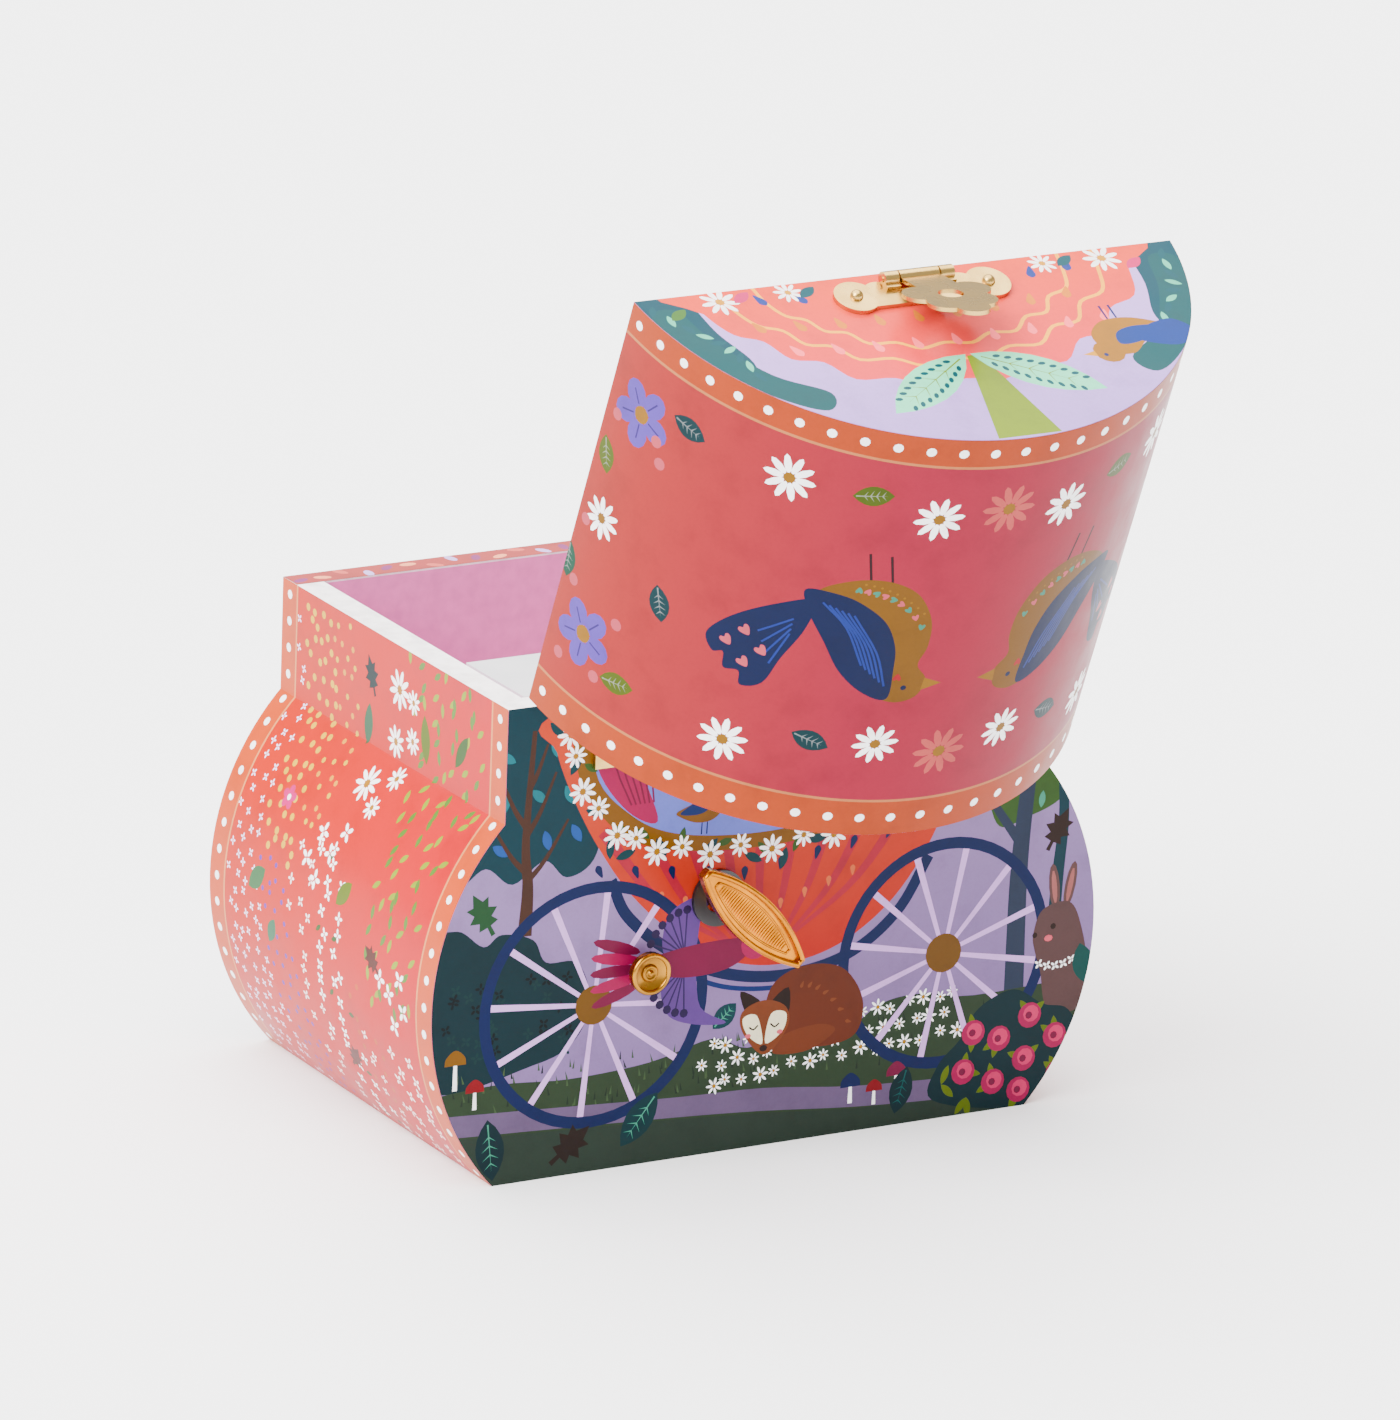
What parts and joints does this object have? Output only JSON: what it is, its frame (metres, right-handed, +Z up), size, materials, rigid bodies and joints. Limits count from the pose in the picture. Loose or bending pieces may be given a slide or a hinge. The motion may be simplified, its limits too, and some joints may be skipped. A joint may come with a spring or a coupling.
{
  "type": "musical jewellery box",
  "caption": "Coach-shaped printed musical jewellery box, arched lid standing open on its stop, with hasp, winding key, stop knob, clockwork and a turning dancer inside.",
  "frame": {"origin": "middle of the flat underside, on the surface the box stands on", "axes": "+Z up; -Y out of the front with the hasp; +Y out of the back with the winding key; +X the side the cylinder points to"},
  "size_m": [0.15, 0.1922, 0.1928],
  "materials": {
    "printed_front": "gloss printed paper over board",
    "printed_back": "gloss printed paper over board",
    "printed_wall": "gloss printed paper over bent board",
    "printed_lid": "gloss printed paper over bent board",
    "printed_lid_end": "gloss printed paper over board",
    "lining": "satin pink lining paper",
    "lining_pad": "flocked pink lining",
    "stage": "white board",
    "mirror": "silvered",
    "grommet": "black",
    "gold": "pale gold plated",
    "key_gold": "bright gold plated",
    "knob_brass": "turned brass",
    "movement_plate": "gilt die casting",
    "movement_brass": "cut brass",
    "movement_steel": "bright steel",
    "figure_disc": "pale pink",
    "figure_spring": "plated spring wire",
    "dancer": "moulded, painted",
    "tutu": "pink net"
  },
  "bodies": {
    "box": {"front_panel": "printed_front", "back_panel": "printed_back", "left_side_wall": "printed_wall", "right_side_wall": "printed_wall", "bottom_board": "lining", "partition": "lining", "stage_board": "stage", "stage_mirror": "mirror", "floor_pad": "lining_pad", "key_grommet": "grommet", "catch_post": "gold", "bedplate": "movement_plate", "movement_screws": "movement_steel", "governor_frame": "movement_steel", "bearing_brackets": "movement_steel", "comb": "movement_steel", "comb_base": "movement_brass", "comb_screws": "movement_steel", "gear_bridge": "movement_steel", "stage_bush": "movement_brass", "click_pawl": "movement_steel", "left_hinge_base_leaf": "gold", "right_hinge_base_leaf": "gold", "hinge_base_screws": "gold"},
    "lid": {"lid_front_panel": "printed_lid_end", "lid_back_panel": "printed_lid_end", "lid_arch": "printed_lid", "left_hinge_lid_leaf": "gold", "right_hinge_lid_leaf": "gold", "hinge_lid_screws": "gold", "hinge_pins": "movement_steel", "hasp_plate": "gold", "hasp_nails": "gold", "hasp_pin": "gold"},
    "hasp": {"hasp_flap": "gold"},
    "key": {"winding_arbor": "movement_steel", "ratchet_wheel": "movement_steel", "key_stem": "key_gold", "key_grip": "key_gold"},
    "barrel": {"spring_barrel": "movement_brass", "crown_gear": "movement_brass", "mainspring": "movement_steel"},
    "cylinder": {"cylinder_shaft": "movement_steel", "cylinder_pinion": "movement_brass", "cylinder_gear": "movement_brass", "pin_cylinder": "movement_brass"},
    "governor": {"governor_wheel": "movement_brass"},
    "fan": {"fan_arbor": "movement_steel", "fan_pinion": "movement_brass", "fan_blades": "movement_brass"},
    "drive": {"drive_shaft": "movement_steel", "drive_pinion": "movement_brass", "transfer_gear": "movement_brass"},
    "figure": {"figure_spindle": "movement_steel", "figure_gear": "movement_brass", "figure_disc": "figure_disc", "figure_spring": "figure_spring", "dancer": "dancer", "tutu": "tutu"},
    "stop": {"stop_knob": "knob_brass"}
  },
  "joints": [
    {"name": "lid_hinge", "type": "hinge", "parent": "box", "child": "lid", "pos_m": [0, 0.0524, 0.0982], "axis": [1, 0, 0], "range_deg": [0, 112.3]},
    {"name": "hasp_hinge", "type": "hinge", "parent": "lid", "child": "hasp", "pos_m": [0, 0.0951, 0.19126], "axis": [1, 0, 0], "range_deg": [0, 160]},
    {"name": "winding_key", "type": "hinge", "parent": "box", "child": "key", "pos_m": [0.012, 0.05, 0.0535], "axis": [0, 1, 0], "continuous": true},
    {"name": "barrel_spin", "type": "hinge", "parent": "box", "child": "barrel", "pos_m": [0.012, 0.025, 0.0535], "axis": [0, 1, 0], "continuous": true},
    {"name": "cylinder_spin", "type": "hinge", "parent": "box", "child": "cylinder", "pos_m": [0.04, 0.0325, 0.0535], "axis": [1, 0, 0], "continuous": true},
    {"name": "governor_spin", "type": "hinge", "parent": "box", "child": "governor", "pos_m": [0.027, 0.02853, 0.04714], "axis": [1, 0, 0], "continuous": true},
    {"name": "fan_spin", "type": "hinge", "parent": "box", "child": "fan", "pos_m": [0.03, 0.03293, 0.04107], "axis": [1, 0, 0], "continuous": true},
    {"name": "drive_spin", "type": "hinge", "parent": "box", "child": "drive", "pos_m": [0.012, 0.0325, 0.07], "axis": [0, 0, 1], "continuous": true},
    {"name": "figure_spin", "type": "hinge", "parent": "box", "child": "figure", "pos_m": [0, 0.0285, 0.09], "axis": [0, 0, 1], "continuous": true},
    {"name": "stop_slide", "type": "slide", "parent": "box", "child": "stop", "axis": [0, -1, 0], "range_m": [0, 0.0025]}
  ],
  "couplings": [
    {"joint": "cylinder_spin", "follows": "barrel_spin", "ratio": 4},
    {"joint": "drive_spin", "follows": "barrel_spin", "ratio": 4},
    {"joint": "figure_spin", "follows": "barrel_spin", "ratio": -3.2},
    {"joint": "governor_spin", "follows": "barrel_spin", "ratio": -16},
    {"joint": "fan_spin", "follows": "barrel_spin", "ratio": 64}
  ]
}
